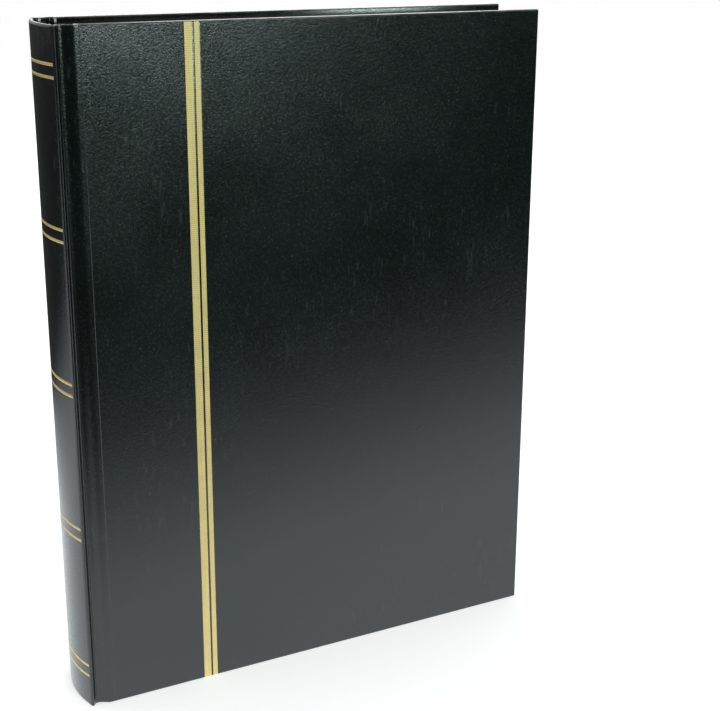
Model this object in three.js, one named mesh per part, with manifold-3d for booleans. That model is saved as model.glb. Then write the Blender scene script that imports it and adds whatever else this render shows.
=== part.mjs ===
// A DIN A4 stockbook for stamps: a hard case with a hollow back, and a block of card leaves on guards.
//
// Millimetres. +Z is up and the album stands on its tail edge at z = 0. The front cover faces -Y, the
// spine is at -X and the fore-edge at +X. The origin is at the middle of the footprint.

import * as THREE from "three";
import { mergeVertices } from "three/addons/utils/BufferGeometryUtils.js";
import Module from "manifold-3d";

// Driving dimensions of the closed album.
const WIDTH = 230; // back of the spine to the fore-edge of the covers
const HEIGHT = 305;
const THICKNESS = 38; // outer face to outer face of the covers

// Case.
const SKIN = 0.4; // leatherette
const BOARD = 2.3; // greyboard
const PAPER = 0.25; // pastedowns and hinge cloths
const LAYER_GAP = 0.05; // room for glue between two layers
const TURN_IN = 15; // leatherette folded over onto the inside of a board
const SPINE_BULGE = 3.5; // how far the spine stands out behind its two ridges
const SPINE_CARD = 1.0;
const RIDGE_INSET = 0.8; // the ridges lie a little inside the faces of the covers
const JOINT_WIDTH = 8.6; // groove between a ridge and the edge of its board
const GROOVE_DEPTH = 1.4; // below the ridge

// Gold foil, pressed into the leatherette.
const FOIL = 0.15;
const FOIL_DEPTH = 0.2; // depth of the impression
const STRIPES = [
  { name: "cover_stripe_wide", from: 53.6, to: 57.0 }, // distances from the front ridge
  { name: "cover_stripe_narrow", from: 57.9, to: 60.1 },
];
const BAND_COUNT = 5;
const BAND_PITCH = 67.2;
const LINE_SPACING = 5.2; // between the two lines of a band
const LINE_WIDTH = 1.3;

// Block.
const LEAF_COUNT = 16;
const SQUARE = 4.5; // covers stand this far beyond the leaves at head, tail and fore-edge
const CARD = 0.6;
const STRIP_COUNT = 9; // on each side of a leaf
const STRIP_HEIGHT = 25;
const STRIP_PITCH = 32.2;
const STRIP_RELIEF = 0.12; // a strip and its glued edge stand this far above the card
const STRIP_MARGIN = 6; // card beside and below the strips
const INTERLEAF = 0.1;
const INTERLEAF_INSET = 1; // interleaves are trimmed a little smaller than the leaves
const GUARD_WIDTH = 8.7; // stubs, from the back of the block to the fold of the leaves
const GUARD_BACKING = 1.2; // glued part that holds the stubs together
const STUB = 1.1;
const FOLD = 0.5; // bare linen on each side of a leaf's fold

// Sizes that follow.
const COVER_DEPTH = 2 * SKIN + BOARD + PAPER + 3 * LAYER_GAP;
const FACE_Y = THICKNESS / 2; // outer face of a cover
const FORE_EDGE_X = WIDTH / 2;
const RIDGE_X = -WIDTH / 2 + SPINE_BULGE;
const RIDGE_Y = FACE_Y - RIDGE_INSET;
const COVER_X = RIDGE_X + JOINT_WIDTH; // spine-side edge of a cover
const SPINE_RADIUS = (RIDGE_Y ** 2 + SPINE_BULGE ** 2) / (2 * SPINE_BULGE);
const SPINE_CENTRE_X = -WIDTH / 2 + SPINE_RADIUS;
const SPINE_HALF_ANGLE = Math.asin(RIDGE_Y / SPINE_RADIUS);
const BLOCK_Y = FACE_Y - COVER_DEPTH; // half the thickness of the block
const BLOCK_BOTTOM = SQUARE;
const BLOCK_TOP = HEIGHT - SQUARE;
const LEAF_PITCH = (2 * BLOCK_Y) / LEAF_COUNT;
const GUARD_BACK_X = RIDGE_X + 1.9; // clear of the hollow back
const FOLD_X = GUARD_BACK_X + GUARD_WIDTH + FOLD; // the line that the leaves turn on
const LEAF_END_X = FORE_EDGE_X - SQUARE;

const COLOURS = {
  leatherette: { color: 0x1e2926, roughness: 0.42, metalness: 0 },
  gold: { color: 0xc9b878, roughness: 0.3, metalness: 0.9 },
  greyboard: { color: 0x8c8a82, roughness: 0.9, metalness: 0 },
  paper: { color: 0xe6e7e8, roughness: 0.85, metalness: 0 },
  glassine: { color: 0xdfe4e6, roughness: 0.35, metalness: 0 },
  linen: { color: 0xf0efec, roughness: 0.9, metalness: 0 },
};

const wasm = await Module();
wasm.setup();

const album = new THREE.Group();

function addPart(name, geometry, colour) {
  const mesh = new THREE.Mesh(geometry, new THREE.MeshStandardMaterial(COLOURS[colour]));
  mesh.name = name;
  album.add(mesh);
}

// A box between two corners, given in any order.
function boxBetween([x0, y0, z0], [x1, y1, z1]) {
  const box = new THREE.BoxGeometry(Math.abs(x1 - x0), Math.abs(y1 - y0), Math.abs(z1 - z0));
  return box.translate((x0 + x1) / 2, (y0 + y1) / 2, (z0 + z1) / 2);
}

function extrudeUp(outline, bottom, top) {
  const settings = { depth: top - bottom, bevelEnabled: false, curveSegments: 20 };
  return new THREE.ExtrudeGeometry(outline, settings).translate(0, 0, bottom);
}

function toSolid(geometry) {
  const bare = geometry.clone();
  bare.deleteAttribute("normal");
  bare.deleteAttribute("uv");
  const merged = mergeVertices(bare, 1e-4);
  return new wasm.Manifold(
    new wasm.Mesh({
      numProp: 3,
      vertProperties: merged.attributes.position.array,
      triVerts: Uint32Array.from(merged.index.array),
    }),
  );
}

function toGeometry(solid) {
  const mesh = solid.getMesh();
  const geometry = new THREE.BufferGeometry();
  geometry.setAttribute("position", new THREE.BufferAttribute(mesh.vertProperties, 3));
  geometry.setIndex(new THREE.BufferAttribute(mesh.triVerts, 1));
  return geometry;
}

function cut(geometry, ...cutters) {
  let solid = toSolid(geometry);
  for (const cutter of cutters) solid = solid.subtract(toSolid(cutter));
  return toGeometry(solid);
}

function join(geometry, ...others) {
  let solid = toSolid(geometry);
  for (const other of others) solid = solid.add(toSolid(other));
  return toGeometry(solid);
}

// Covers. side is -1 for the front and 1 for the back; depth counts inward from the outer face.
const depthToY = (side, depth) => side * (FACE_Y - depth);

function coverLeatherette(side) {
  const layer = SKIN + LAYER_GAP;
  const inner = 2 * SKIN + BOARD + 2 * LAYER_GAP;
  const tray = boxBetween([COVER_X, depthToY(side, 0), 0], [FORE_EDGE_X, depthToY(side, inner), HEIGHT]);
  const boardRoom = boxBetween(
    [COVER_X + SKIN, depthToY(side, SKIN), SKIN],
    [FORE_EDGE_X - SKIN, depthToY(side, inner - SKIN), HEIGHT - SKIN],
  );
  const window = boxBetween(
    [COVER_X - 1, depthToY(side, inner - layer), TURN_IN],
    [FORE_EDGE_X - TURN_IN, depthToY(side, inner + 1), HEIGHT - TURN_IN],
  );
  const impressions = side < 0 ? STRIPES.map((stripe) => stripeBox(stripe, LAYER_GAP, FOIL_DEPTH, 1)) : [];
  return cut(tray, boardRoom, window, ...impressions);
}

// One stripe on the front cover, from a depth below the surface up to a height above it.
function stripeBox({ from, to }, margin, depth, height) {
  return boxBetween(
    [RIDGE_X + from - margin, depthToY(-1, depth), -margin],
    [RIDGE_X + to + margin, depthToY(-1, -height), HEIGHT + margin],
  );
}

function board(side) {
  const layer = SKIN + LAYER_GAP;
  return boxBetween(
    [COVER_X + layer, depthToY(side, layer), layer],
    [FORE_EDGE_X - layer, depthToY(side, layer + BOARD), HEIGHT - layer],
  );
}

function pastedown(side) {
  return boxBetween(
    [COVER_X + LAYER_GAP, depthToY(side, COVER_DEPTH - PAPER), BLOCK_BOTTOM],
    [LEAF_END_X, depthToY(side, COVER_DEPTH), BLOCK_TOP],
  );
}

// The cloth that joins the block to the cover, lying on the first guard.
function hingeCloth(side) {
  return boxBetween(
    [GUARD_BACK_X, depthToY(side, COVER_DEPTH + LAYER_GAP), BLOCK_BOTTOM],
    [FOLD_X - 2 * FOLD, depthToY(side, COVER_DEPTH + LAYER_GAP + PAPER), BLOCK_TOP],
  );
}

// The grooved strip of leatherette between a ridge of the spine and the edge of a cover.
function jointLeatherette(side) {
  const steps = 12;
  const start = RIDGE_X + SKIN + LAYER_GAP;
  const end = COVER_X - 2 * LAYER_GAP;
  const outer = [];
  for (let i = 0; i <= steps; i++) {
    const x = start + ((end - start) * i) / steps;
    const depth = RIDGE_INSET + GROOVE_DEPTH * Math.sin((Math.PI * (x - RIDGE_X)) / JOINT_WIDTH);
    outer.push(new THREE.Vector2(x, depthToY(side, depth)));
  }
  const inner = outer.map((point) => new THREE.Vector2(point.x, point.y - side * SKIN)).reverse();
  return extrudeUp(new THREE.Shape([...outer, ...inner]), SKIN, HEIGHT - SKIN);
}

// Spine. A layer of the rounded spine between two depths, with its ends trimmed back by an angle.
function spineLayer(depthOut, depthIn, trim, bottom, top) {
  const low = Math.PI - SPINE_HALF_ANGLE + trim;
  const high = Math.PI + SPINE_HALF_ANGLE - trim;
  const outline = new THREE.Shape();
  outline.absarc(SPINE_CENTRE_X, 0, SPINE_RADIUS - depthOut, low, high, false);
  outline.absarc(SPINE_CENTRE_X, 0, SPINE_RADIUS - depthIn, high, low, true);
  outline.closePath();
  return extrudeUp(outline, bottom, top);
}

const CARD_TRIM = 1.5 / SPINE_RADIUS; // the card stops short of the ridges
const spineCardDepth = SKIN + LAYER_GAP;
const spineInside = 2 * SKIN + SPINE_CARD + 2 * LAYER_GAP;

function spineLineHeights() {
  const heights = [];
  for (let band = 0; band < BAND_COUNT; band++) {
    const middle = HEIGHT / 2 + (band - (BAND_COUNT - 1) / 2) * BAND_PITCH;
    heights.push({ name: `spine_band_${band + 1}_lower`, z: middle - LINE_SPACING / 2 });
    heights.push({ name: `spine_band_${band + 1}_upper`, z: middle + LINE_SPACING / 2 });
  }
  return heights;
}

function spineLine(z, margin, depthOut, depthIn) {
  const half = LINE_WIDTH / 2 + margin;
  return spineLayer(depthOut, depthIn, 2 * CARD_TRIM / 3 - margin / SPINE_RADIUS, z - half, z + half);
}

function spineLeatherette() {
  const shell = spineLayer(0, SKIN, 0, 0, HEIGHT);
  const turnedOver = join(
    shell,
    spineLayer(SKIN / 2, spineInside, CARD_TRIM, 0, TURN_IN),
    spineLayer(SKIN / 2, spineInside, CARD_TRIM, HEIGHT - TURN_IN, HEIGHT),
  );
  const cardRoom = spineLayer(SKIN, spineInside - SKIN, CARD_TRIM / 2, SKIN, HEIGHT - SKIN);
  const impressions = spineLineHeights().map(({ z }) => spineLine(z, LAYER_GAP, -1, FOIL_DEPTH));
  return cut(turnedOver, cardRoom, ...impressions);
}

// Block. Leaves are numbered from the front cover.
const leafY = (number) => -BLOCK_Y + (number - 0.5) * LEAF_PITCH;

function guards() {
  const outline = new THREE.Shape();
  const back = GUARD_BACK_X;
  const root = GUARD_BACK_X + GUARD_BACKING;
  const tip = GUARD_BACK_X + GUARD_WIDTH;
  const points = [[back, -leafY(1) + STUB / 2], [back, leafY(1) - STUB / 2]];
  for (let number = 1; number <= LEAF_COUNT; number++) {
    const y = leafY(number);
    if (number > 1) points.push([root, y - STUB / 2]);
    points.push([tip, y - STUB / 2], [tip, y + STUB / 2]);
    if (number < LEAF_COUNT) points.push([root, y + STUB / 2]);
  }
  outline.setFromPoints(points.map(([x, y]) => new THREE.Vector2(x, y)));
  return extrudeUp(outline, BLOCK_BOTTOM, BLOCK_TOP);
}

function leaf() {
  const start = FOLD_X + FOLD / 2;
  const card = boxBetween([start, -CARD / 2, BLOCK_BOTTOM], [LEAF_END_X, CARD / 2, BLOCK_TOP]);
  const strips = [];
  for (let row = 0; row < STRIP_COUNT; row++) {
    const bottom = BLOCK_BOTTOM + STRIP_MARGIN + row * STRIP_PITCH;
    const y = CARD / 2 + STRIP_RELIEF;
    strips.push(
      boxBetween([start + STRIP_MARGIN, -y, bottom], [LEAF_END_X - STRIP_MARGIN, y, bottom + STRIP_HEIGHT]),
    );
  }
  return join(card, ...strips);
}

function interleaf() {
  return boxBetween(
    [FOLD_X + FOLD / 2, -INTERLEAF / 2, BLOCK_BOTTOM + INTERLEAF_INSET],
    [LEAF_END_X - INTERLEAF_INSET, INTERLEAF / 2, BLOCK_TOP - INTERLEAF_INSET],
  );
}

// Assembly.
for (const [name, side] of [["front", -1], ["back", 1]]) {
  addPart(`${name}_cover_leatherette`, coverLeatherette(side), "leatherette");
  addPart(`${name}_board`, board(side), "greyboard");
  addPart(`${name}_pastedown`, pastedown(side), "paper");
  addPart(`${name}_joint_leatherette`, jointLeatherette(side), "leatherette");
  addPart(`${name}_hinge_cloth`, hingeCloth(side), "linen");
}

for (const stripe of STRIPES) {
  const foil = boxBetween(
    [RIDGE_X + stripe.from, depthToY(-1, FOIL_DEPTH - LAYER_GAP / 2), 0],
    [RIDGE_X + stripe.to, depthToY(-1, FOIL_DEPTH - LAYER_GAP / 2 - FOIL), HEIGHT],
  );
  addPart(stripe.name, foil, "gold");
}

addPart("spine_leatherette", spineLeatherette(), "leatherette");
addPart(
  "spine_card",
  spineLayer(
    spineCardDepth, spineCardDepth + SPINE_CARD, CARD_TRIM, spineCardDepth, HEIGHT - spineCardDepth,
  ),
  "greyboard",
);
for (const { name, z } of spineLineHeights()) {
  addPart(name, spineLine(z, 0, FOIL_DEPTH - LAYER_GAP / 2 - FOIL, FOIL_DEPTH - LAYER_GAP / 2), "gold");
}

addPart("leaf_guards", guards(), "paper");
addPart(
  "block_back_lining",
  boxBetween(
    [GUARD_BACK_X - LAYER_GAP - SKIN, -BLOCK_Y + SKIN, BLOCK_BOTTOM],
    [GUARD_BACK_X - LAYER_GAP, BLOCK_Y - SKIN, BLOCK_TOP],
  ),
  "linen",
);

const leafShape = leaf();
const interleafShape = interleaf();
const twoDigits = (number) => String(number).padStart(2, "0");
for (let number = 1; number <= LEAF_COUNT; number++) {
  const card = leafShape.clone().translate(0, leafY(number), 0);
  addPart(`leaf_${twoDigits(number)}`, card, "paper");
  if (number === LEAF_COUNT) continue;
  const sheet = interleafShape.clone().translate(0, leafY(number) + LEAF_PITCH / 2, 0);
  addPart(`interleaf_${twoDigits(number)}`, sheet, "glassine");
}

export default album;
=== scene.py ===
import math

import bmesh
import bpy
import numpy as np
from mathutils import Matrix, Vector


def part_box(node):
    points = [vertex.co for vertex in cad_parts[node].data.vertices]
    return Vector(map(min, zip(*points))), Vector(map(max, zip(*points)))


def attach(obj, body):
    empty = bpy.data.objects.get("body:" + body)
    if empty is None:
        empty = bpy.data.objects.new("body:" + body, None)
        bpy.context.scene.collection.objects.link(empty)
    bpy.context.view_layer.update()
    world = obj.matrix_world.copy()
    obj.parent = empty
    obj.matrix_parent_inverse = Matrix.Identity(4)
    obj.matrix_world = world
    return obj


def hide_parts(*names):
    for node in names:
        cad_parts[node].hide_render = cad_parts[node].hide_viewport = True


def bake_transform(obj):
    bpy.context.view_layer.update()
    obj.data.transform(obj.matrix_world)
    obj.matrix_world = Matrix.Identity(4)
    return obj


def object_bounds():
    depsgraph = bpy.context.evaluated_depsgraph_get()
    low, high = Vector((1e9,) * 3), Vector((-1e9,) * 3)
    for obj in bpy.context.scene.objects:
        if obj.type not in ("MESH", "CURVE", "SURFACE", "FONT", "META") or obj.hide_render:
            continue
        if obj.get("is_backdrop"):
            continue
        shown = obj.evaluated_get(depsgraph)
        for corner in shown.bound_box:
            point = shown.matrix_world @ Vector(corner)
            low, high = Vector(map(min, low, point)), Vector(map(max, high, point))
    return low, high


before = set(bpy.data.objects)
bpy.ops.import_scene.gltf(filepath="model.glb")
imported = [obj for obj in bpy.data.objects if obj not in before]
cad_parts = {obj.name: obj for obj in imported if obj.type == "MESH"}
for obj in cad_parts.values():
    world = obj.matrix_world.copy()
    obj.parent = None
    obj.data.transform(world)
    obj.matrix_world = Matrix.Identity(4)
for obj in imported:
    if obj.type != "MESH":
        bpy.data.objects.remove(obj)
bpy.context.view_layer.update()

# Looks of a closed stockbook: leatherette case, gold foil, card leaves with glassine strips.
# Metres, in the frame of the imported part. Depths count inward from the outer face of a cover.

MM = 0.001
SAME = 0.001 * MM  # places closer together than this count as one

# Sizes read from the frame.
cover_low, cover_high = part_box("front_cover_leatherette")
spine_low, spine_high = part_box("spine_leatherette")
guard_low, guard_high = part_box("leaf_guards")
HEIGHT = cover_high.z
FACE_Y = -cover_low.y
COVER_X = cover_low.x
FORE_EDGE_X = cover_high.x
SPINE_BACK_X = spine_low.x
RIDGE_Y = spine_high.y

# Case.
SKIN = 0.4 * MM
WEAR = 0.8 * MM  # how far the worn head and tail edges of the leatherette reach
CARD_STACK = 1.9 * MM  # leatherette, spine card and turned-in leatherette together
FOLDED_SKIN = 0.85 * MM  # leatherette folded onto itself, where there is no card
EDGE_RADIUS = 0.6 * MM
SUPPORT = 0.4 * MM  # extra row of points beside a round edge, which keeps the face beyond it flat
SPINE_BULGE = 3.5 * MM
TURN_IN = 15 * MM
RIDGE_X = SPINE_BACK_X + SPINE_BULGE
SPINE_RADIUS = (RIDGE_Y**2 + SPINE_BULGE**2) / (2 * SPINE_BULGE)
SPINE_CENTRE_X = SPINE_BACK_X + SPINE_RADIUS
SPINE_HALF_ANGLE = math.asin(RIDGE_Y / SPINE_RADIUS)
SPINE_ARC_SHARE = 0.965  # how much of its arc the spine keeps before it turns into the grooves
SPINE_FOIL_SHARE = 0.955  # how much of the arc a line of foil covers

BOARD_STACK = cover_high.y - cover_low.y  # board with its leatherette on both sides
PANEL_START = COVER_X + 2 * MM  # where the panel on a board takes over from the joint's strip

# Gold foil.
STRIPE_NAMES = ("cover_stripe_wide", "cover_stripe_narrow")
BED_DEPTH = 0.12 * MM
BED_SLOPE = 0.3 * MM
FOIL = 0.05 * MM
FOIL_PROUD = 0.03 * MM
RIB_PITCH = 0.9 * MM

# Block.
LEAF_NAMES = sorted(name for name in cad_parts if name.startswith("leaf_") and name != "leaf_guards")
INTERLEAF_NAMES = sorted(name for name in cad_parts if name.startswith("interleaf_"))
CARD = 0.6 * MM
STRIP_COUNT = 9
STRIP_HEIGHT = 25 * MM
STRIP_PITCH = 32.2 * MM
STRIP_MARGIN = 6 * MM
LINEN_CLOTH = 0.1 * MM
STRIP_FILM = 0.04 * MM
STRIP_CLEARANCE = 0.01 * MM  # between the card and the glued foot of a strip
STRIP_OPENING = 0.1 * MM  # how far the open top of a strip stands off the card
HINGE_CLOTH_REACH = 13 * MM  # of the linen onto the inside of a cover
CORNER_RADIUS = 1.5 * MM  # of a leaf's corners at the fore-edge

# Contents.
STAMP_PAPER = 0.06 * MM
STAMP_CLEARANCE = 0.02 * MM
STAMP_MARGIN = 1.6 * MM  # white border round the print
BITE = 0.5 * MM  # radius of a perforation
BITE_PITCH = 1.5 * MM
WIDE_STAMP = (57 * MM, 39 * MM)
SMALL_STAMP = (21 * MM, 30 * MM)


# --- mesh helpers ---------------------------------------------------------------------------------


def make_piece(name, points, faces, material, smooth=True, flat_ends=0):
    """A mesh object. flat_ends is how many faces, at the end of the list, stay flat on a smooth solid."""
    mesh = bpy.data.meshes.new(name)
    mesh.from_pydata([tuple(p) for p in points], [], faces)
    mesh.validate()
    body = len(mesh.polygons) - flat_ends
    mesh.polygons.foreach_set("use_smooth", [smooth] * body + [False] * flat_ends)
    clean_up(mesh)
    mesh.materials.append(material)
    piece = bpy.data.objects.new(name, mesh)
    bpy.context.scene.collection.objects.link(piece)
    return piece


def clean_up(mesh):
    """Joins points that lie in one place and turns every face outward."""
    work = bmesh.new()
    work.from_mesh(mesh)
    bmesh.ops.remove_doubles(work, verts=work.verts, dist=SAME)
    bmesh.ops.recalc_face_normals(work, faces=work.faces)
    work.to_mesh(mesh)
    work.free()


def through_points(points, steps):
    """A smooth line through the points, with that many steps between two of them."""
    ends = [2 * points[0] - points[1], *points, 2 * points[-1] - points[-2]]
    line = []
    for a, b, c, d in zip(ends, ends[1:], ends[2:], ends[3:]):
        for i in range(steps):
            t = i / steps
            line.append(
                0.5 * (2 * b + (c - a) * t + (2 * a - 5 * b + 4 * c - d) * t**2
                       + (3 * b - a - 3 * c + d) * t**3)
            )
    return [*line, points[-1]]


def side_normals(line):
    """Unit normals of a line in the XY plane, on its left."""
    array = np.array([tuple(p) for p in line])
    along = np.gradient(array, axis=0)
    along /= np.linalg.norm(along, axis=1)[:, None]
    return [Vector((-a[1], a[0])) for a in along]


def sweep(name, line, sections, material):
    """A closed solid: at each point of the line a ring of (inward, height) pairs, with flat ends."""
    normals = side_normals(line)
    count = len(sections[0])
    points, faces = [], []
    for place, normal, section in zip(line, normals, sections):
        for inward, height in section:
            points.append((place.x + normal.x * inward, place.y + normal.y * inward, height))
    for i in range(len(line) - 1):
        for j in range(count):
            k = (j + 1) % count
            faces.append((i * count + j, (i + 1) * count + j, (i + 1) * count + k, i * count + k))
    last = (len(line) - 1) * count
    faces.append(tuple(range(count)))
    faces.append(tuple(last + j for j in reversed(range(count))))
    return make_piece(name, points, faces, material, flat_ends=2)


def wrapped_section(stack, radius):
    """Leatherette turned over at head and tail round something: outer face, round edges, inside flaps.

    A closed ring of (inward, height) pairs. stack is its full depth and radius rounds its edges.
    """
    quarter = [math.pi / 2 * i / 4 for i in range(5)]
    inner = radius - SKIN
    near, far = radius, stack - radius
    outside = [(0, HEIGHT - radius - SUPPORT)]
    outside += [(near - radius * math.cos(a), HEIGHT - radius + radius * math.sin(a)) for a in quarter]
    outside += [(far + radius * math.sin(a), HEIGHT - radius + radius * math.cos(a)) for a in quarter]
    outside += [(stack, HEIGHT - TURN_IN)]
    inside = [(stack - SKIN, HEIGHT - TURN_IN)]
    inside += [(far + inner * math.cos(a), HEIGHT - radius + inner * math.sin(a)) for a in quarter]
    inside += [(near - inner * math.sin(a), HEIGHT - radius + inner * math.cos(a)) for a in quarter]
    top = outside + inside
    return top + [(inward, HEIGHT - height) for inward, height in reversed(top)]


# --- materials ------------------------------------------------------------------------------------


class Nodes:
    """A short way to write a node material."""

    def __init__(self, name):
        self.material = bpy.data.materials.new(name)
        self.material.use_nodes = True
        self.tree = self.material.node_tree
        self.shader = self.tree.nodes["Principled BSDF"]
        self.place = self.add("ShaderNodeTexCoord").outputs["Object"]

    def add(self, kind, **settings):
        node = self.tree.nodes.new(kind)
        for key, value in settings.items():
            setattr(node, key, value)
        return node

    def feed(self, socket, value):
        if isinstance(value, bpy.types.NodeSocket):
            self.tree.links.new(value, socket)
        else:
            socket.default_value = value

    def stretched(self, scale, turn=(0, 0, 0)):
        mapping = self.add("ShaderNodeMapping")
        self.feed(mapping.inputs["Vector"], self.place)
        self.feed(mapping.inputs["Scale"], scale)
        self.feed(mapping.inputs["Rotation"], turn)
        return mapping.outputs["Vector"]

    def noise(self, scale, detail=3.0, roughness=0.55, where=None):
        node = self.add("ShaderNodeTexNoise")
        self.feed(node.inputs["Vector"], where or self.place)
        self.feed(node.inputs["Scale"], scale)
        self.feed(node.inputs["Detail"], detail)
        self.feed(node.inputs["Roughness"], roughness)
        return node.outputs["Fac"]

    def cells(self, scale, feature="F1", where=None):
        node = self.add("ShaderNodeTexVoronoi", feature=feature)
        self.feed(node.inputs["Vector"], where or self.place)
        self.feed(node.inputs["Scale"], scale)
        return node.outputs["Distance"]

    def ramp(self, value, low, high, to_low=0.0, to_high=1.0):
        node = self.add("ShaderNodeMapRange")
        for key, number in (("Value", value), ("From Min", low), ("From Max", high),
                            ("To Min", to_low), ("To Max", to_high)):
            self.feed(node.inputs[key], number)
        return node.outputs["Result"]

    def calc(self, a, b, operation="ADD"):
        node = self.add("ShaderNodeMath", operation=operation)
        self.feed(node.inputs[0], a)
        self.feed(node.inputs[1], b)
        return node.outputs[0]

    def mix(self, share, a, b):
        node = self.add("ShaderNodeMix", data_type="RGBA")
        self.feed(node.inputs["Factor"], share)
        self.feed(node.inputs["A"], a)
        self.feed(node.inputs["B"], b)
        return node.outputs["Result"]

    def bump(self, height, strength, distance, below=None):
        node = self.add("ShaderNodeBump")
        self.feed(node.inputs["Height"], height)
        self.feed(node.inputs["Strength"], strength)
        self.feed(node.inputs["Distance"], distance)
        if below is not None:
            self.feed(node.inputs["Normal"], below)
        return node.outputs["Normal"]

    def finish(self, **inputs):
        for key, value in inputs.items():
            self.feed(self.shader.inputs[key.replace("_", " ")], value)
        return self.material


def leatherette():
    """Near-black green: fine grain with curls and pores, light creases, worn head and tail edges."""
    n = Nodes("leatherette")
    grain = n.cells(1100.0)
    curls = n.calc(n.noise(850.0, 3.0, 0.6), 0.5, "SUBTRACT")
    creases = n.ramp(n.calc(curls, 0.0, "ABSOLUTE"), 0.0, 0.07)
    pores = n.noise(1700.0, 3.0, 0.65)
    patches = n.noise(22.0, 4.0)
    grit = n.noise(850.0, 4.0, 0.75)

    # Short light creases that lean two ways and come in groups.
    leaning = n.noise(1.0, 3.0, where=n.stretched((420.0, 420.0, 75.0), (0.0, 0.45, 0.0)))
    slanted = n.noise(1.0, 3.0, where=n.stretched((380.0, 380.0, 90.0), (0.0, 0.95, 0.0)))
    strokes = n.ramp(n.calc(leaning, slanted, "MAXIMUM"), 0.62, 0.76)
    marks = n.calc(strokes, n.ramp(n.noise(13.0, 3.0), 0.48, 0.64), "MULTIPLY")

    # Wear at the head and tail edges.
    axes = n.add("ShaderNodeSeparateXYZ")
    n.feed(axes.inputs[0], n.place)
    from_middle = n.calc(n.calc(axes.outputs["Z"], HEIGHT / 2, "SUBTRACT"), 0.0, "ABSOLUTE")
    edge = n.ramp(from_middle, HEIGHT / 2 - WEAR, HEIGHT / 2)
    wear = n.calc(edge, n.ramp(n.noise(120.0, 3.0), 0.25, 0.7), "MULTIPLY")

    darkest, dark = (0.0007, 0.0034, 0.0026, 1.0), (0.0014, 0.0052, 0.0042, 1.0)
    fleck, crease, worn = (0.0190, 0.0340, 0.0300, 1.0), (0.04, 0.050, 0.047, 1.0), (0.17, 0.15, 0.135, 1.0)
    tone = n.mix(n.ramp(patches, 0.35, 0.7), darkest, dark)
    mottled = n.mix(n.ramp(grit, 0.58, 0.78), tone, fleck)
    marked = n.mix(n.calc(marks, 0.6, "MULTIPLY"), mottled, crease)
    colour = n.mix(wear, marked, worn)
    rough = n.ramp(n.calc(n.calc(patches, 0.5, "MULTIPLY"), grit), 0.55, 0.95, 0.16, 0.28)

    fine = n.calc(n.calc(grain, n.calc(creases, 0.35, "MULTIPLY")), n.calc(pores, 1.2, "MULTIPLY"))
    waves = n.bump(n.noise(24.0, 2.0), 0.3, 0.4 * MM)
    grained = n.bump(fine, 0.6, 0.036 * MM, waves)
    return n.finish(Base_Color=colour, Roughness=rough, IOR=1.6,
                    Normal=n.bump(marks, 0.25, 0.05 * MM, grained))


def gold_foil():
    """Satin gold foil with fine ribs across the stripes and faint streaks along them, and painted shade in
    the hollows between the ribs.
    """
    n = Nodes("gold_foil")
    ribs = n.add("ShaderNodeTexWave", wave_type="BANDS", bands_direction="Z")
    n.feed(ribs.inputs["Vector"], n.place)
    n.feed(ribs.inputs["Scale"], 2 * math.pi / (20 * RIB_PITCH))  # it has 20 radians per unit of scale
    n.feed(ribs.inputs["Distortion"], 0.5)
    streaks = n.noise(1.0, 3.0, where=n.stretched((2600.0, 2600.0, 30.0)))
    wear = n.noise(180.0, 4.0)
    dull, bright, rib_hollow_shade = (0.73, 0.57, 0.25, 1.0), (0.97, 0.77, 0.36, 1.0), (0.42, 0.32, 0.12, 1.0)
    plain = n.mix(n.ramp(n.calc(wear, streaks), 0.7, 1.3), dull, bright)
    # Painted shade: the foil between the ribs is mixed toward a darker gold, as if shade lay in the
    # hollows.
    tone = n.mix(n.calc(ribs.outputs["Fac"], 0.4, "MULTIPLY"), plain, rib_hollow_shade)
    rough = n.ramp(wear, 0.3, 0.7, 0.54, 0.64)
    waves = n.bump(n.noise(12.0, 2.0), 0.35, 1.0 * MM)
    ribbed = n.bump(ribs.outputs["Fac"], 0.5, 0.04 * MM, waves)
    streaked = n.bump(streaks, 0.35, 0.04 * MM, ribbed)
    return n.finish(Base_Color=tone, Metallic=0.86, Roughness=rough, Normal=streaked)


def paper(name, light, dark, fibre):
    """Paper, card or board: cloudy, with fibres of that noise scale."""
    n = Nodes(name)
    cloud = n.noise(35.0, 4.0)
    fibres = n.noise(1.0, 4.0, where=n.stretched((fibre, fibre, fibre * 0.35)))
    tone = n.mix(n.ramp(n.calc(cloud, n.calc(fibres, 0.4, "MULTIPLY")), 0.5, 0.9), dark, light)
    surface = n.bump(fibres, 0.18, 0.05 * MM)
    return n.finish(Base_Color=tone, Roughness=n.ramp(fibres, 0.3, 0.7, 0.72, 0.88), Normal=surface)


def glassine():
    """Clear, slightly milky film with soft creases."""
    n = Nodes("glassine")
    cloud = n.noise(300.0, 4.0)
    creases = n.noise(40.0, 2.0)
    tone = n.mix(cloud, (0.80, 0.83, 0.85, 1.0), (0.88, 0.90, 0.91, 1.0))
    surface = n.bump(creases, 0.15, 0.4 * MM)
    return n.finish(Base_Color=tone, Roughness=0.28, Alpha=0.32, Normal=surface, IOR=1.45)


def linen():
    """White bookbinding cloth in a plain weave."""
    n = Nodes("linen")
    warp = n.add("ShaderNodeTexWave", wave_type="BANDS", bands_direction="Z")
    weft = n.add("ShaderNodeTexWave", wave_type="BANDS", bands_direction="X")
    for thread in (warp, weft):
        n.feed(thread.inputs["Vector"], n.place)
        n.feed(thread.inputs["Scale"], 480.0)
        n.feed(thread.inputs["Distortion"], 1.2)
        n.feed(thread.inputs["Detail Scale"], 3.0)
    weave = n.calc(warp.outputs["Fac"], weft.outputs["Fac"], "MULTIPLY")
    tone = n.mix(weave, (0.66, 0.66, 0.64, 1.0), (0.84, 0.84, 0.82, 1.0))
    return n.finish(Base_Color=tone, Roughness=0.9, Normal=n.bump(weave, 0.4, 0.08 * MM))


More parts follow.
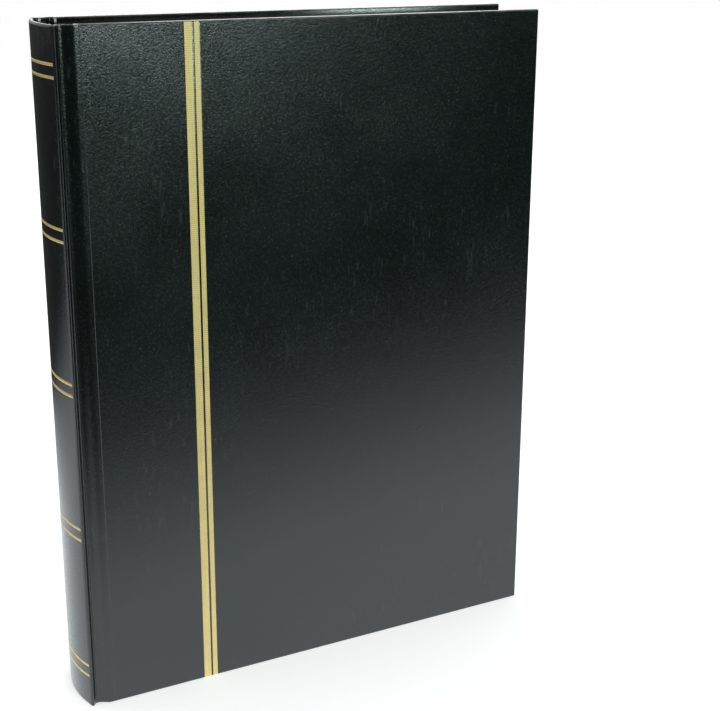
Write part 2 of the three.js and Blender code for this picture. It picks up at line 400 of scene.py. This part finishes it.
LEATHER = leatherette()
GOLD = gold_foil()
GREYBOARD = paper("greyboard", (0.36, 0.35, 0.32, 1.0), (0.22, 0.21, 0.19, 1.0), 900.0)
ENDPAPER = paper("endpaper", (0.84, 0.85, 0.86, 1.0), (0.74, 0.75, 0.77, 1.0), 1500.0)
PAGE_CARD = paper("page_card", (0.80, 0.81, 0.82, 1.0), (0.72, 0.73, 0.75, 1.0), 1800.0)
GLASSINE = glassine()
LINEN = linen()


# --- case -----------------------------------------------------------------------------------------


def cover_leatherette(name, node, body, side):
    """The panel of leatherette on one board: round edges, folded over onto the inside on three sides."""
    low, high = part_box(node)
    low.x = COVER_X  # the panel is cut from a longer one, so that its spine side is open
    work = bmesh.new()
    bmesh.ops.create_cube(work, size=1.0)
    size, middle = high - low, (high + low) / 2
    bmesh.ops.transform(work, matrix=Matrix.Translation(middle) @ Matrix.Diagonal((*size, 1.0)),
                        verts=work.verts)
    bmesh.ops.bevel(work, geom=work.edges[:], offset=EDGE_RADIUS, segments=4, profile=0.5,
                    affect="EDGES")
    split_at(work, PANEL_START, "x", keep_above=True)
    inner_y = side * (FACE_Y - size.y)
    mark = 0.1 * MM  # width of the open mitre between two flaps

    def on_inside(face):
        return all(abs(v.co.y - inner_y) < SAME for v in face.verts)

    split_at(work, high.x - TURN_IN, "x", only=on_inside)
    split_at(work, TURN_IN, "z", only=on_inside)
    split_at(work, HEIGHT - TURN_IN, "z", only=on_inside)
    for corner_z, rise in ((0, 1), (HEIGHT, -1)):
        for offset in (-mark, mark):
            plane = Vector((1, 0, rise)).normalized()
            geometry = [g for f in work.faces if on_inside(f) for g in (f, *f.edges, *f.verts)]
            bmesh.ops.bisect_plane(work, geom=list(dict.fromkeys(geometry)), plane_no=plane,
                                   plane_co=Vector((high.x, inner_y, corner_z)) + plane * offset)

    def unwanted(face):
        if not on_inside(face):
            return False
        place = face.calc_center_median()
        window = place.x < high.x - TURN_IN and TURN_IN < place.z < HEIGHT - TURN_IN
        from_corner = high.x - place.x, min(place.z, HEIGHT - place.z)
        return window or (abs(from_corner[0] - from_corner[1]) < mark and max(from_corner) < TURN_IN)

    bmesh.ops.delete(work, geom=[f for f in work.faces if unwanted(f)], context="FACES")
    if side < 0:
        press_stripes(work)
    for face in work.faces:
        face.smooth = min(e.calc_length() for e in face.edges) < EDGE_RADIUS
    mesh = bpy.data.meshes.new(name)
    work.to_mesh(mesh)
    work.free()
    mesh.materials.append(LEATHER)
    piece = bpy.data.objects.new(name, mesh)
    bpy.context.scene.collection.objects.link(piece)
    thick = piece.modifiers.new("thickness", "SOLIDIFY")
    thick.thickness = SKIN
    thick.offset = -1.0
    thick.use_even_offset = True
    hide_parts(node)
    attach(piece, body)
    return piece


def split_at(work, place, axis, keep_above=False, only=None):
    normal = Vector((axis == "x", 0, axis == "z"))
    faces = [f for f in work.faces if only is None or only(f)]
    geometry = list(dict.fromkeys(g for f in faces for g in (f, *f.edges, *f.verts)))
    bmesh.ops.bisect_plane(work, geom=geometry, plane_co=normal * place, plane_no=normal,
                           clear_inner=keep_above)


def press_stripes(work):
    """Presses the bed of each foil stripe into the outer face, with a soft slope beside it."""
    edges = []
    for name in STRIPE_NAMES:
        low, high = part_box(name)
        edges += [(low.x - BED_SLOPE, 0), (low.x, BED_DEPTH), (high.x, BED_DEPTH),
                  (high.x + BED_SLOPE, 0)]
    for x, _ in edges:
        split_at(work, x, "x", only=lambda f: f.calc_center_median().y < -(FACE_Y - EDGE_RADIUS))
    work.normal_update()
    pressed = []
    for vert in work.verts:
        for x, depth in edges:
            if depth and abs(vert.co.x - x) < SAME and vert.co.y < -(FACE_Y - 1.2 * EDGE_RADIUS):
                pressed.append((vert, Vector((0, vert.normal.y, vert.normal.z)).normalized() * depth))
    for vert, inward in pressed:
        vert.co -= inward


def groove_line():
    """The section of the front joint, from the ridge of the spine to the flat face of the board."""
    places = [(0.35, 0.62), (0.85, 0.70), (1.35, 1.15), (1.9, 1.85), (2.7, 2.28), (3.7, 2.32),
              (4.8, 1.95), (5.9, 1.3), (7.0, 0.62), (8.1, 0.18), (9.1, 0.02), (10.2, 0.0)]
    return [Vector((RIDGE_X + x * MM, -(FACE_Y - depth * MM))) for x, depth in places]


GROOVE_BOTTOM = 4  # the point of groove_line() where the spine's piece ends and the joint's starts


def arc_point(angle):
    """A point on the outside of the spine; angle 0 is its middle and the front is negative."""
    return Vector((SPINE_CENTRE_X - SPINE_RADIUS * math.cos(angle), SPINE_RADIUS * math.sin(angle)))


def spine_line():
    """The outline of the spine from groove to groove, seen from above, back first."""
    arc_end = SPINE_HALF_ANGLE * SPINE_ARC_SHARE
    steps = 40
    arc = [arc_point(-arc_end + 2 * arc_end * i / steps) for i in range(steps + 1)]
    turn = list(reversed(groove_line()[:GROOVE_BOTTOM + 1]))
    finer = 5
    front = through_points([*turn, arc[0], arc[1]], finer)[:-finer - 1]
    back = [Vector((p.x, -p.y)) for p in front]
    return [*back, *reversed(arc), *reversed(front)], len(front)


def spine_leatherette():
    line, edge = spine_line()
    sections = []
    for i in range(len(line)):
        inside_arc = min(i - edge, len(line) - 1 - edge - i)
        share = min(max(inside_arc / 3, 0.0), 1.0)
        stack = FOLDED_SKIN + (CARD_STACK - FOLDED_SKIN) * share
        sections.append(wrapped_section(stack, stack / 2))
    piece = sweep("spine_covering", line, sections, LEATHER)
    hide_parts("spine_leatherette")
    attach(piece, "root")


def joint_leatherette(name, node, side):
    """The flexible strip in the groove and the start of the panel, up to its flat face."""
    groove = groove_line()[GROOVE_BOTTOM:]
    line = [*through_points(groove, 6), Vector((PANEL_START, -FACE_Y))]
    sections = []
    for place in line:
        share = min(max((place.x - (COVER_X - 0.7 * MM)) / (0.9 * MM), 0.0), 1.0)
        stack = FOLDED_SKIN + (BOARD_STACK - FOLDED_SKIN) * share
        radius = FOLDED_SKIN / 2 + (EDGE_RADIUS - FOLDED_SKIN / 2) * share
        sections.append(wrapped_section(stack, radius))
    line = [Vector((p.x, -side * p.y)) for p in line]
    if side > 0:
        line.reverse()
        sections.reverse()
    piece = sweep(name, line, sections, LEATHER)
    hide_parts(node)
    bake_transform(piece)


def cover_stripe(name):
    """A stripe of foil on the front cover, following its round head and tail edges."""
    low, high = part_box(name)
    turns = [math.radians(75) * i / 5 for i in range(6)]
    upper = [(a, HEIGHT - EDGE_RADIUS) for a in reversed(turns)]
    path = [*upper, *((-a, EDGE_RADIUS) for a in turns)]
    points, faces = [], []
    for angle, middle_z in path:
        for x, proud in ((low.x, 0), (low.x, 1), (high.x, 1), (high.x, 0)):
            reach = EDGE_RADIUS - BED_DEPTH + (FOIL_PROUD if proud else FOIL_PROUD - FOIL)
            points.append((x, -(FACE_Y - EDGE_RADIUS) - reach * math.cos(angle),
                           middle_z + reach * math.sin(angle)))
    for i in range(len(path) - 1):
        for j in range(4):
            k = (j + 1) % 4
            faces.append((4 * i + j, 4 * i + k, 4 * i + 4 + k, 4 * i + 4 + j))
    faces.append((3, 2, 1, 0))
    faces.append(tuple(4 * (len(path) - 1) + j for j in range(4)))
    piece = make_piece(name + "_foil", points, faces, GOLD, smooth=False)
    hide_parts(name)
    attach(piece, "front_cover")


def spine_foil_line(name):
    """A line of foil round the spine, from ridge to ridge."""
    low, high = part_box(name)
    half_angle = SPINE_HALF_ANGLE * SPINE_FOIL_SHARE
    line = [arc_point(half_angle - 2 * half_angle * i / 40) for i in range(41)]
    section = [(-FOIL_PROUD, low.z), (-FOIL_PROUD, high.z), (FOIL - FOIL_PROUD, high.z),
               (FOIL - FOIL_PROUD, low.z)]
    piece = sweep(name + "_foil", line, [section] * len(line), GOLD)
    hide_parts(name)
    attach(piece, "root")


def hinge_cloth(name):
    """Linen from the first guard over the joint onto the inside of the cover."""
    low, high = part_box(name)
    columns = 24
    start, end = low.x, COVER_X + HINGE_CLOTH_REACH
    points, faces = [], []
    for i in range(columns + 1):
        x = start + (end - start) * i / columns
        for y in (low.y, high.y):
            for z in (low.z, high.z):
                points.append((x, y, z))
    for i in range(columns):
        a, b = 4 * i, 4 * (i + 1)
        for p, q in ((0, 1), (1, 3), (3, 2), (2, 0)):
            faces.append((a + p, a + q, b + q, b + p))
    faces.append((0, 2, 3, 1))
    faces.append(tuple(4 * columns + j for j in (1, 3, 2, 0)))
    piece = make_piece(name + "_strip", points, faces, LINEN, smooth=False)
    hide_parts(name)
    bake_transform(piece)


# --- block ----------------------------------------------------------------------------------------


def leaf_card(name, y):
    """The card of a leaf, with slightly rounded corners at the fore-edge."""
    low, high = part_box(name)
    corner = CORNER_RADIUS
    outline = [(low.x, low.z)]
    for middle_z, first in ((low.z + corner, -90), (high.z - corner, 0)):
        for i in range(5):
            a = math.radians(first + 22.5 * i)
            outline.append((high.x - corner + corner * math.cos(a), middle_z + corner * math.sin(a)))
    outline.append((low.x, high.z))
    count = len(outline)
    points = [(x, y - CARD / 2, z) for x, z in outline] + [(x, y + CARD / 2, z) for x, z in outline]
    faces = [tuple(range(count)), tuple(reversed(range(count, 2 * count)))]
    faces += [(i, i + count, (i + 1) % count + count, (i + 1) % count) for i in range(count)]
    piece = make_piece(name + "_card", points, faces, PAGE_CARD, smooth=False)
    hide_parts(name)
    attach(piece, name)


def leaf_hinge(name, y):
    """Linen that holds a leaf: one layer at the fold, opening into two round the edge of the card."""
    low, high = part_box(name)
    start, fold_end, end = guard_high.x, low.x, low.x + STRIP_MARGIN - 0.4 * MM
    places = [(start + (fold_end - start) * i / 6, LINEN_CLOTH / 2) for i in range(7)]
    places += [(fold_end + 0.5 * MM, CARD / 2 + LINEN_CLOTH), (end, CARD / 2 + LINEN_CLOTH)]
    points, faces = [], []
    for x, half in places:
        points += [(x, y - half, low.z), (x, y + half, low.z), (x, y + half, high.z),
                   (x, y - half, high.z)]
    for i in range(len(places) - 1):
        for j in range(4):
            k = (j + 1) % 4
            faces.append((4 * i + j, 4 * i + k, 4 * i + 4 + k, 4 * i + 4 + j))
    faces.append((3, 2, 1, 0))
    faces.append(tuple(4 * (len(places) - 1) + j for j in range(4)))
    piece = make_piece(name + "_linen_hinge", points, faces, LINEN, smooth=False)
    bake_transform(piece)


def leaf_strips(name, y):
    """The nine strips on each side of a leaf: glued along the bottom, open along the top."""
    low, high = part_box(name)
    start, end = low.x + STRIP_MARGIN, high.x - STRIP_MARGIN
    rise = [(0.0, 0.0), (0.05, 0.75), (0.5, 0.9), (1.0, 1.0)]
    points, faces = [], []
    for side in (-1, 1):
        for row in range(STRIP_COUNT):
            bottom = low.z + STRIP_MARGIN + row * STRIP_PITCH
            base = len(points)
            for x in (start, end):
                for share, lift in rise:
                    z = bottom + STRIP_HEIGHT * share
                    out = CARD / 2 + STRIP_CLEARANCE + STRIP_OPENING * lift
                    points.append((x, y + side * out, z))
                    points.append((x, y + side * (out + STRIP_FILM), z))
            count = 2 * len(rise)
            for i in range(len(rise) - 1):
                a, b = base + 2 * i, base + count + 2 * i
                faces += [(a, a + 2, b + 2, b), (a + 1, b + 1, b + 3, a + 3)]
                faces += [(a, a + 1, a + 3, a + 2), (b, b + 2, b + 3, b + 1)]
            last = count - 2
            faces += [(base, base + count, base + count + 1, base + 1),
                      (base + last, base + last + 1, base + count + last + 1, base + count + last)]
    piece = make_piece(name + "_strips", points, faces, GLASSINE, smooth=False)
    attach(piece, name)


# --- contents -------------------------------------------------------------------------------------


def stamp_print(name, low, high, header, header_share, light, dark):
    """A printed picture of nothing in particular: a plain header over a dark band and a pale ground."""
    n = Nodes(name)
    axes = n.add("ShaderNodeSeparateXYZ")
    n.feed(axes.inputs[0], n.place)
    x, z = axes.outputs["X"], axes.outputs["Z"]
    rise = n.ramp(z, low.z, high.z)
    across = n.calc(n.calc(x, (low.x + high.x) / 2, "SUBTRACT"), 0.0, "ABSOLUTE")
    along = n.calc(n.calc(z, (low.z + high.z) / 2, "SUBTRACT"), 0.0, "ABSOLUTE")
    printed = n.calc(n.calc(across, (high.x - low.x) / 2 - STAMP_MARGIN, "LESS_THAN"),
                     n.calc(along, (high.z - low.z) / 2 - STAMP_MARGIN, "LESS_THAN"), "MULTIPLY")
    ground = n.mix(n.noise(250.0, 4.0), light, (0.55, 0.58, 0.57, 1.0))
    band = n.mix(n.ramp(n.noise(150.0, 3.0), 0.5, 0.56), dark, light)
    wavy_rise = n.calc(rise, n.calc(n.noise(120.0, 2.0), 0.3, "MULTIPLY"))
    picture = n.mix(n.ramp(wavy_rise, 0.58, 0.60), ground, band)
    headed = n.mix(n.calc(rise, 1 - header_share, "GREATER_THAN"), picture, header)
    colour = n.mix(printed, (0.86, 0.86, 0.84, 1.0), headed)
    fibres = n.noise(1800.0, 3.0)
    return n.finish(Base_Color=colour, Roughness=n.ramp(fibres, 0.3, 0.7, 0.45, 0.6),
                    Normal=n.bump(fibres, 0.15, 0.03 * MM))


def bitten_edge(start, end):
    """A side of a stamp from corner to corner, with half-round bites on its left."""
    along = (end - start).normalized()
    inward = Vector((-along.y, along.x))
    length = (end - start).length
    count = int(length / BITE_PITCH)
    line = [start]
    for i in range(count):
        middle = start + along * (length * (i + 0.5) / count)
        line += [middle - along * BITE * math.cos(a) + inward * BITE * math.sin(a)
                 for a in (0, math.pi / 4, math.pi / 2, 3 * math.pi / 4, math.pi)]
    return line


def stamp(name, leaf, place, size, header, header_share, light, dark):
    """A stamp held by a strip on the front of a leaf, with its upper part over the strip above.

    place is measured from the gutter and the tail of the leaf.
    """
    leaf_low, leaf_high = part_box(leaf)
    page_y = (leaf_low.y + leaf_high.y) / 2 - CARD / 2
    low = Vector((leaf_low.x + place[0], page_y, leaf_low.z + place[1]))
    high = low + Vector((size[0], 0, size[1]))
    row = int((place[1] - STRIP_MARGIN) / STRIP_PITCH)
    held_to = leaf_low.z + STRIP_MARGIN + row * STRIP_PITCH + STRIP_HEIGHT
    over_from = held_to - STRIP_HEIGHT + STRIP_PITCH
    corners = [Vector((low.x, low.z)), Vector((high.x, low.z)), Vector((high.x, high.z)),
               Vector((low.x, high.z))]
    outline = [p for a, b in zip(corners, corners[1:] + corners[:1]) for p in bitten_edge(a, b)]
    work = bmesh.new()
    work.faces.new([work.verts.new((p.x, page_y, p.y)) for p in outline])
    for z in (held_to, over_from):
        split_at(work, z, "z")
    for vert in work.verts:
        share = min(max((vert.co.z - held_to) / (over_from - held_to), 0.0), 1.0)
        vert.co.y -= STAMP_CLEARANCE + (STRIP_OPENING + STRIP_FILM + STAMP_CLEARANCE) * share
    bmesh.ops.solidify(work, geom=work.faces[:], thickness=STAMP_PAPER)
    mesh = bpy.data.meshes.new(name)
    work.to_mesh(mesh)
    work.free()
    clean_up(mesh)
    mesh.materials.append(stamp_print(name, low, high, header, header_share, light, dark))
    piece = bpy.data.objects.new(name, mesh)
    bpy.context.scene.collection.objects.link(piece)
    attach(piece, leaf)


# --- stage ----------------------------------------------------------------------------------------

CAMERA_PLACE = Vector((-0.240, -0.550, 0.355))
CAMERA_YAW = math.radians(27.9)
CAMERA_PITCH = math.radians(16.4)
CAMERA_ROLL = math.radians(0.7)
CAMERA_LENS = 67.0
CAMERA_SHIFT = (-0.049, -0.091)


def make_camera():
    forward = Vector((math.sin(CAMERA_YAW) * math.cos(CAMERA_PITCH),
                      math.cos(CAMERA_YAW) * math.cos(CAMERA_PITCH), -math.sin(CAMERA_PITCH)))
    right = Vector((math.cos(CAMERA_YAW), -math.sin(CAMERA_YAW), 0))
    up = right.cross(forward)
    rolled_right = right * math.cos(CAMERA_ROLL) + up * math.sin(CAMERA_ROLL)
    rolled_up = up * math.cos(CAMERA_ROLL) - right * math.sin(CAMERA_ROLL)
    data = bpy.data.cameras.new("camera")
    data.lens, data.sensor_width = CAMERA_LENS, 36.0
    data.shift_x, data.shift_y = CAMERA_SHIFT
    data.clip_start, data.clip_end = 0.01, 50.0
    camera = bpy.data.objects.new("camera", data)
    axes = Matrix((rolled_right, rolled_up, -forward)).transposed()
    camera.matrix_world = Matrix.Translation(CAMERA_PLACE) @ axes.to_4x4()
    bpy.context.scene.collection.objects.link(camera)
    bpy.context.scene.camera = camera


def make_floor():
    """A white floor. In the album it is mirrored bright from close by and fades further out."""
    n = Nodes("floor")
    path = n.add("ShaderNodeLightPath")
    place = n.add("ShaderNodeSeparateXYZ")
    n.feed(place.inputs[0], n.add("ShaderNodeNewGeometry").outputs["Position"])
    in_front = n.calc(n.calc(place.outputs["X"], -0.25, "MULTIPLY"), place.outputs["Y"], "SUBTRACT")
    at_the_back = n.calc(place.outputs["Y"], 0.85, "MULTIPLY")
    away = n.calc(in_front, at_the_back, "MAXIMUM")
    glossy = path.outputs["Is Glossy Ray"]
    tone = n.mix(glossy, (0.9, 0.9, 0.9, 1.0), (0.01, 0.01, 0.01, 1.0))
    seen = n.calc(path.outputs["Is Camera Ray"], 0.42, "MULTIPLY")
    bright_until, dark_from = 0.13, 0.36
    mirrored = n.calc(glossy, n.ramp(away, bright_until, dark_from, 1.45, 0.02), "MULTIPLY")
    glow = n.mix(glossy, (1.0, 1.0, 1.0, 1.0), (0.90, 0.96, 1.0, 1.0))
    n.finish(Base_Color=tone, Roughness=0.9, Emission_Color=glow,
             Emission_Strength=n.calc(seen, mirrored))
    mesh = bpy.data.meshes.new("floor")
    half = 8.0
    mesh.from_pydata([(-half, -half, 0), (half, -half, 0), (half, half, 0), (-half, half, 0)], [],
                     [(0, 1, 2, 3)])
    mesh.materials.append(n.material)
    floor = bpy.data.objects.new("floor", mesh)
    bpy.context.scene.collection.objects.link(floor)
    floor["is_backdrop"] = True


def add_light(name, data, place, target):
    light = bpy.data.objects.new(name, data)
    light.location = place
    light.visible_camera = False
    light.rotation_euler = (Vector(target) - Vector(place)).to_track_quat("-Z", "Y").to_euler()
    bpy.context.scene.collection.objects.link(light)


def make_panel(name, place, target, size, power, colour=(1, 1, 1)):
    data = bpy.data.lights.new(name, "AREA")
    data.shape, data.size, data.size_y = "RECTANGLE", size[0], size[1]
    data.energy, data.color = power, colour
    add_light(name, data, place, target)


def make_world():
    """White to the eye and for soft light; in reflections bright behind the album and dark in front."""
    world = bpy.data.worlds.new("studio")
    bpy.context.scene.world = world
    world.use_nodes = True
    world.cycles.sampling_method = "NONE"  # so that reflections take only what is meant for them
    tree = world.node_tree
    tree.nodes.clear()

    def background(strength, colour=(1, 1, 1, 1)):
        node = tree.nodes.new("ShaderNodeBackground")
        node.inputs["Color"].default_value = colour
        node.inputs["Strength"].default_value = strength
        return node.outputs[0]

    def mixed(share, first, second):
        node = tree.nodes.new("ShaderNodeMixShader")
        for socket, source in zip(node.inputs, (share, first, second)):
            tree.links.new(source, socket)
        return node.outputs[0]

    path = tree.nodes.new("ShaderNodeLightPath")
    direction = tree.nodes.new("ShaderNodeTexCoord")
    axes = tree.nodes.new("ShaderNodeSeparateXYZ")
    tree.links.new(direction.outputs["Generated"], axes.inputs[0])
    behind = tree.nodes.new("ShaderNodeMapRange")
    tree.links.new(axes.outputs["Y"], behind.inputs["Value"])
    behind.inputs["From Min"].default_value = -0.1
    behind.inputs["From Max"].default_value = 0.5
    reflected = mixed(behind.outputs["Result"], background(0.02, (0.6, 1.0, 0.9, 1)), background(0.7))
    lit = mixed(path.outputs["Is Camera Ray"], background(0.65), background(1.05))
    seen = mixed(path.outputs["Is Glossy Ray"], lit, reflected)
    out = tree.nodes.new("ShaderNodeOutputWorld")
    tree.links.new(seen, out.inputs["Surface"])


make_camera()
make_floor()
make_world()
make_panel("overhead", place=(-0.2, 0.1, 1.6), target=(0, 0, 0.1), size=(1.4, 1.4), power=4)
make_panel("rear", place=(0.6, 1.6, 0.9), target=(0, 0, 0.15), size=(1.0, 0.8), power=7)
make_panel("key", place=(0.14, -1.2, 0.41), target=(-0.1, 0, 0.3), size=(0.60, 0.08), power=6,
           colour=(0.80, 1.0, 0.95))

for name, body, side in (("front", "front_cover", -1), ("back", "back_cover", 1)):
    cover_leatherette(f"{name}_cover_covering", f"{name}_cover_leatherette", body, side)
    joint_leatherette(f"{name}_joint_covering", f"{name}_joint_leatherette", side)
    hinge_cloth(f"{name}_hinge_cloth")
spine_leatherette()
cover_stripe("cover_stripe_wide")
cover_stripe("cover_stripe_narrow")
for name in sorted(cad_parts):
    if name.startswith("spine_band_"):
        spine_foil_line(name)

for name in LEAF_NAMES:
    low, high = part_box(name)
    middle_y = (low.y + high.y) / 2
    leaf_card(name, middle_y)
    leaf_strips(name, middle_y)
    leaf_hinge(name, middle_y)

GREEN = (0.04, 0.42, 0.07, 1.0)
stamp("stamp_flowers", "leaf_01", (47 * MM, 216 * MM), WIDE_STAMP, GREEN, 0.34,
      (0.36, 0.39, 0.40, 1.0), (0.22, 0.03, 0.02, 1.0))
stamp("stamp_meadow", "leaf_01", (122 * MM, 216 * MM), WIDE_STAMP, GREEN, 0.34,
      (0.36, 0.48, 0.38, 1.0), (0.02, 0.10, 0.03, 1.0))
stamp("stamp_blue", "leaf_01", (134 * MM, 152 * MM), SMALL_STAMP, GREEN, 0.0,
      (0.42, 0.48, 0.62, 1.0), (0.02, 0.04, 0.13, 1.0))
stamp("stamp_grey", "leaf_01", (168 * MM, 152 * MM), SMALL_STAMP, GREEN, 0.0,
      (0.78, 0.78, 0.76, 1.0), (0.05, 0.05, 0.05, 1.0))

for names, material in (
    (("front_board", "back_board", "spine_card"), GREYBOARD),
    (("front_pastedown", "back_pastedown"), ENDPAPER),
    (("leaf_guards",), PAGE_CARD),
    (("block_back_lining",), LINEN),
    (INTERLEAF_NAMES, GLASSINE),
):
    for name in names:
        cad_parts[name].data.materials.clear()
        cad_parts[name].data.materials.append(material)

bpy.context.scene.view_settings.view_transform = "Standard"

low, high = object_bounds()
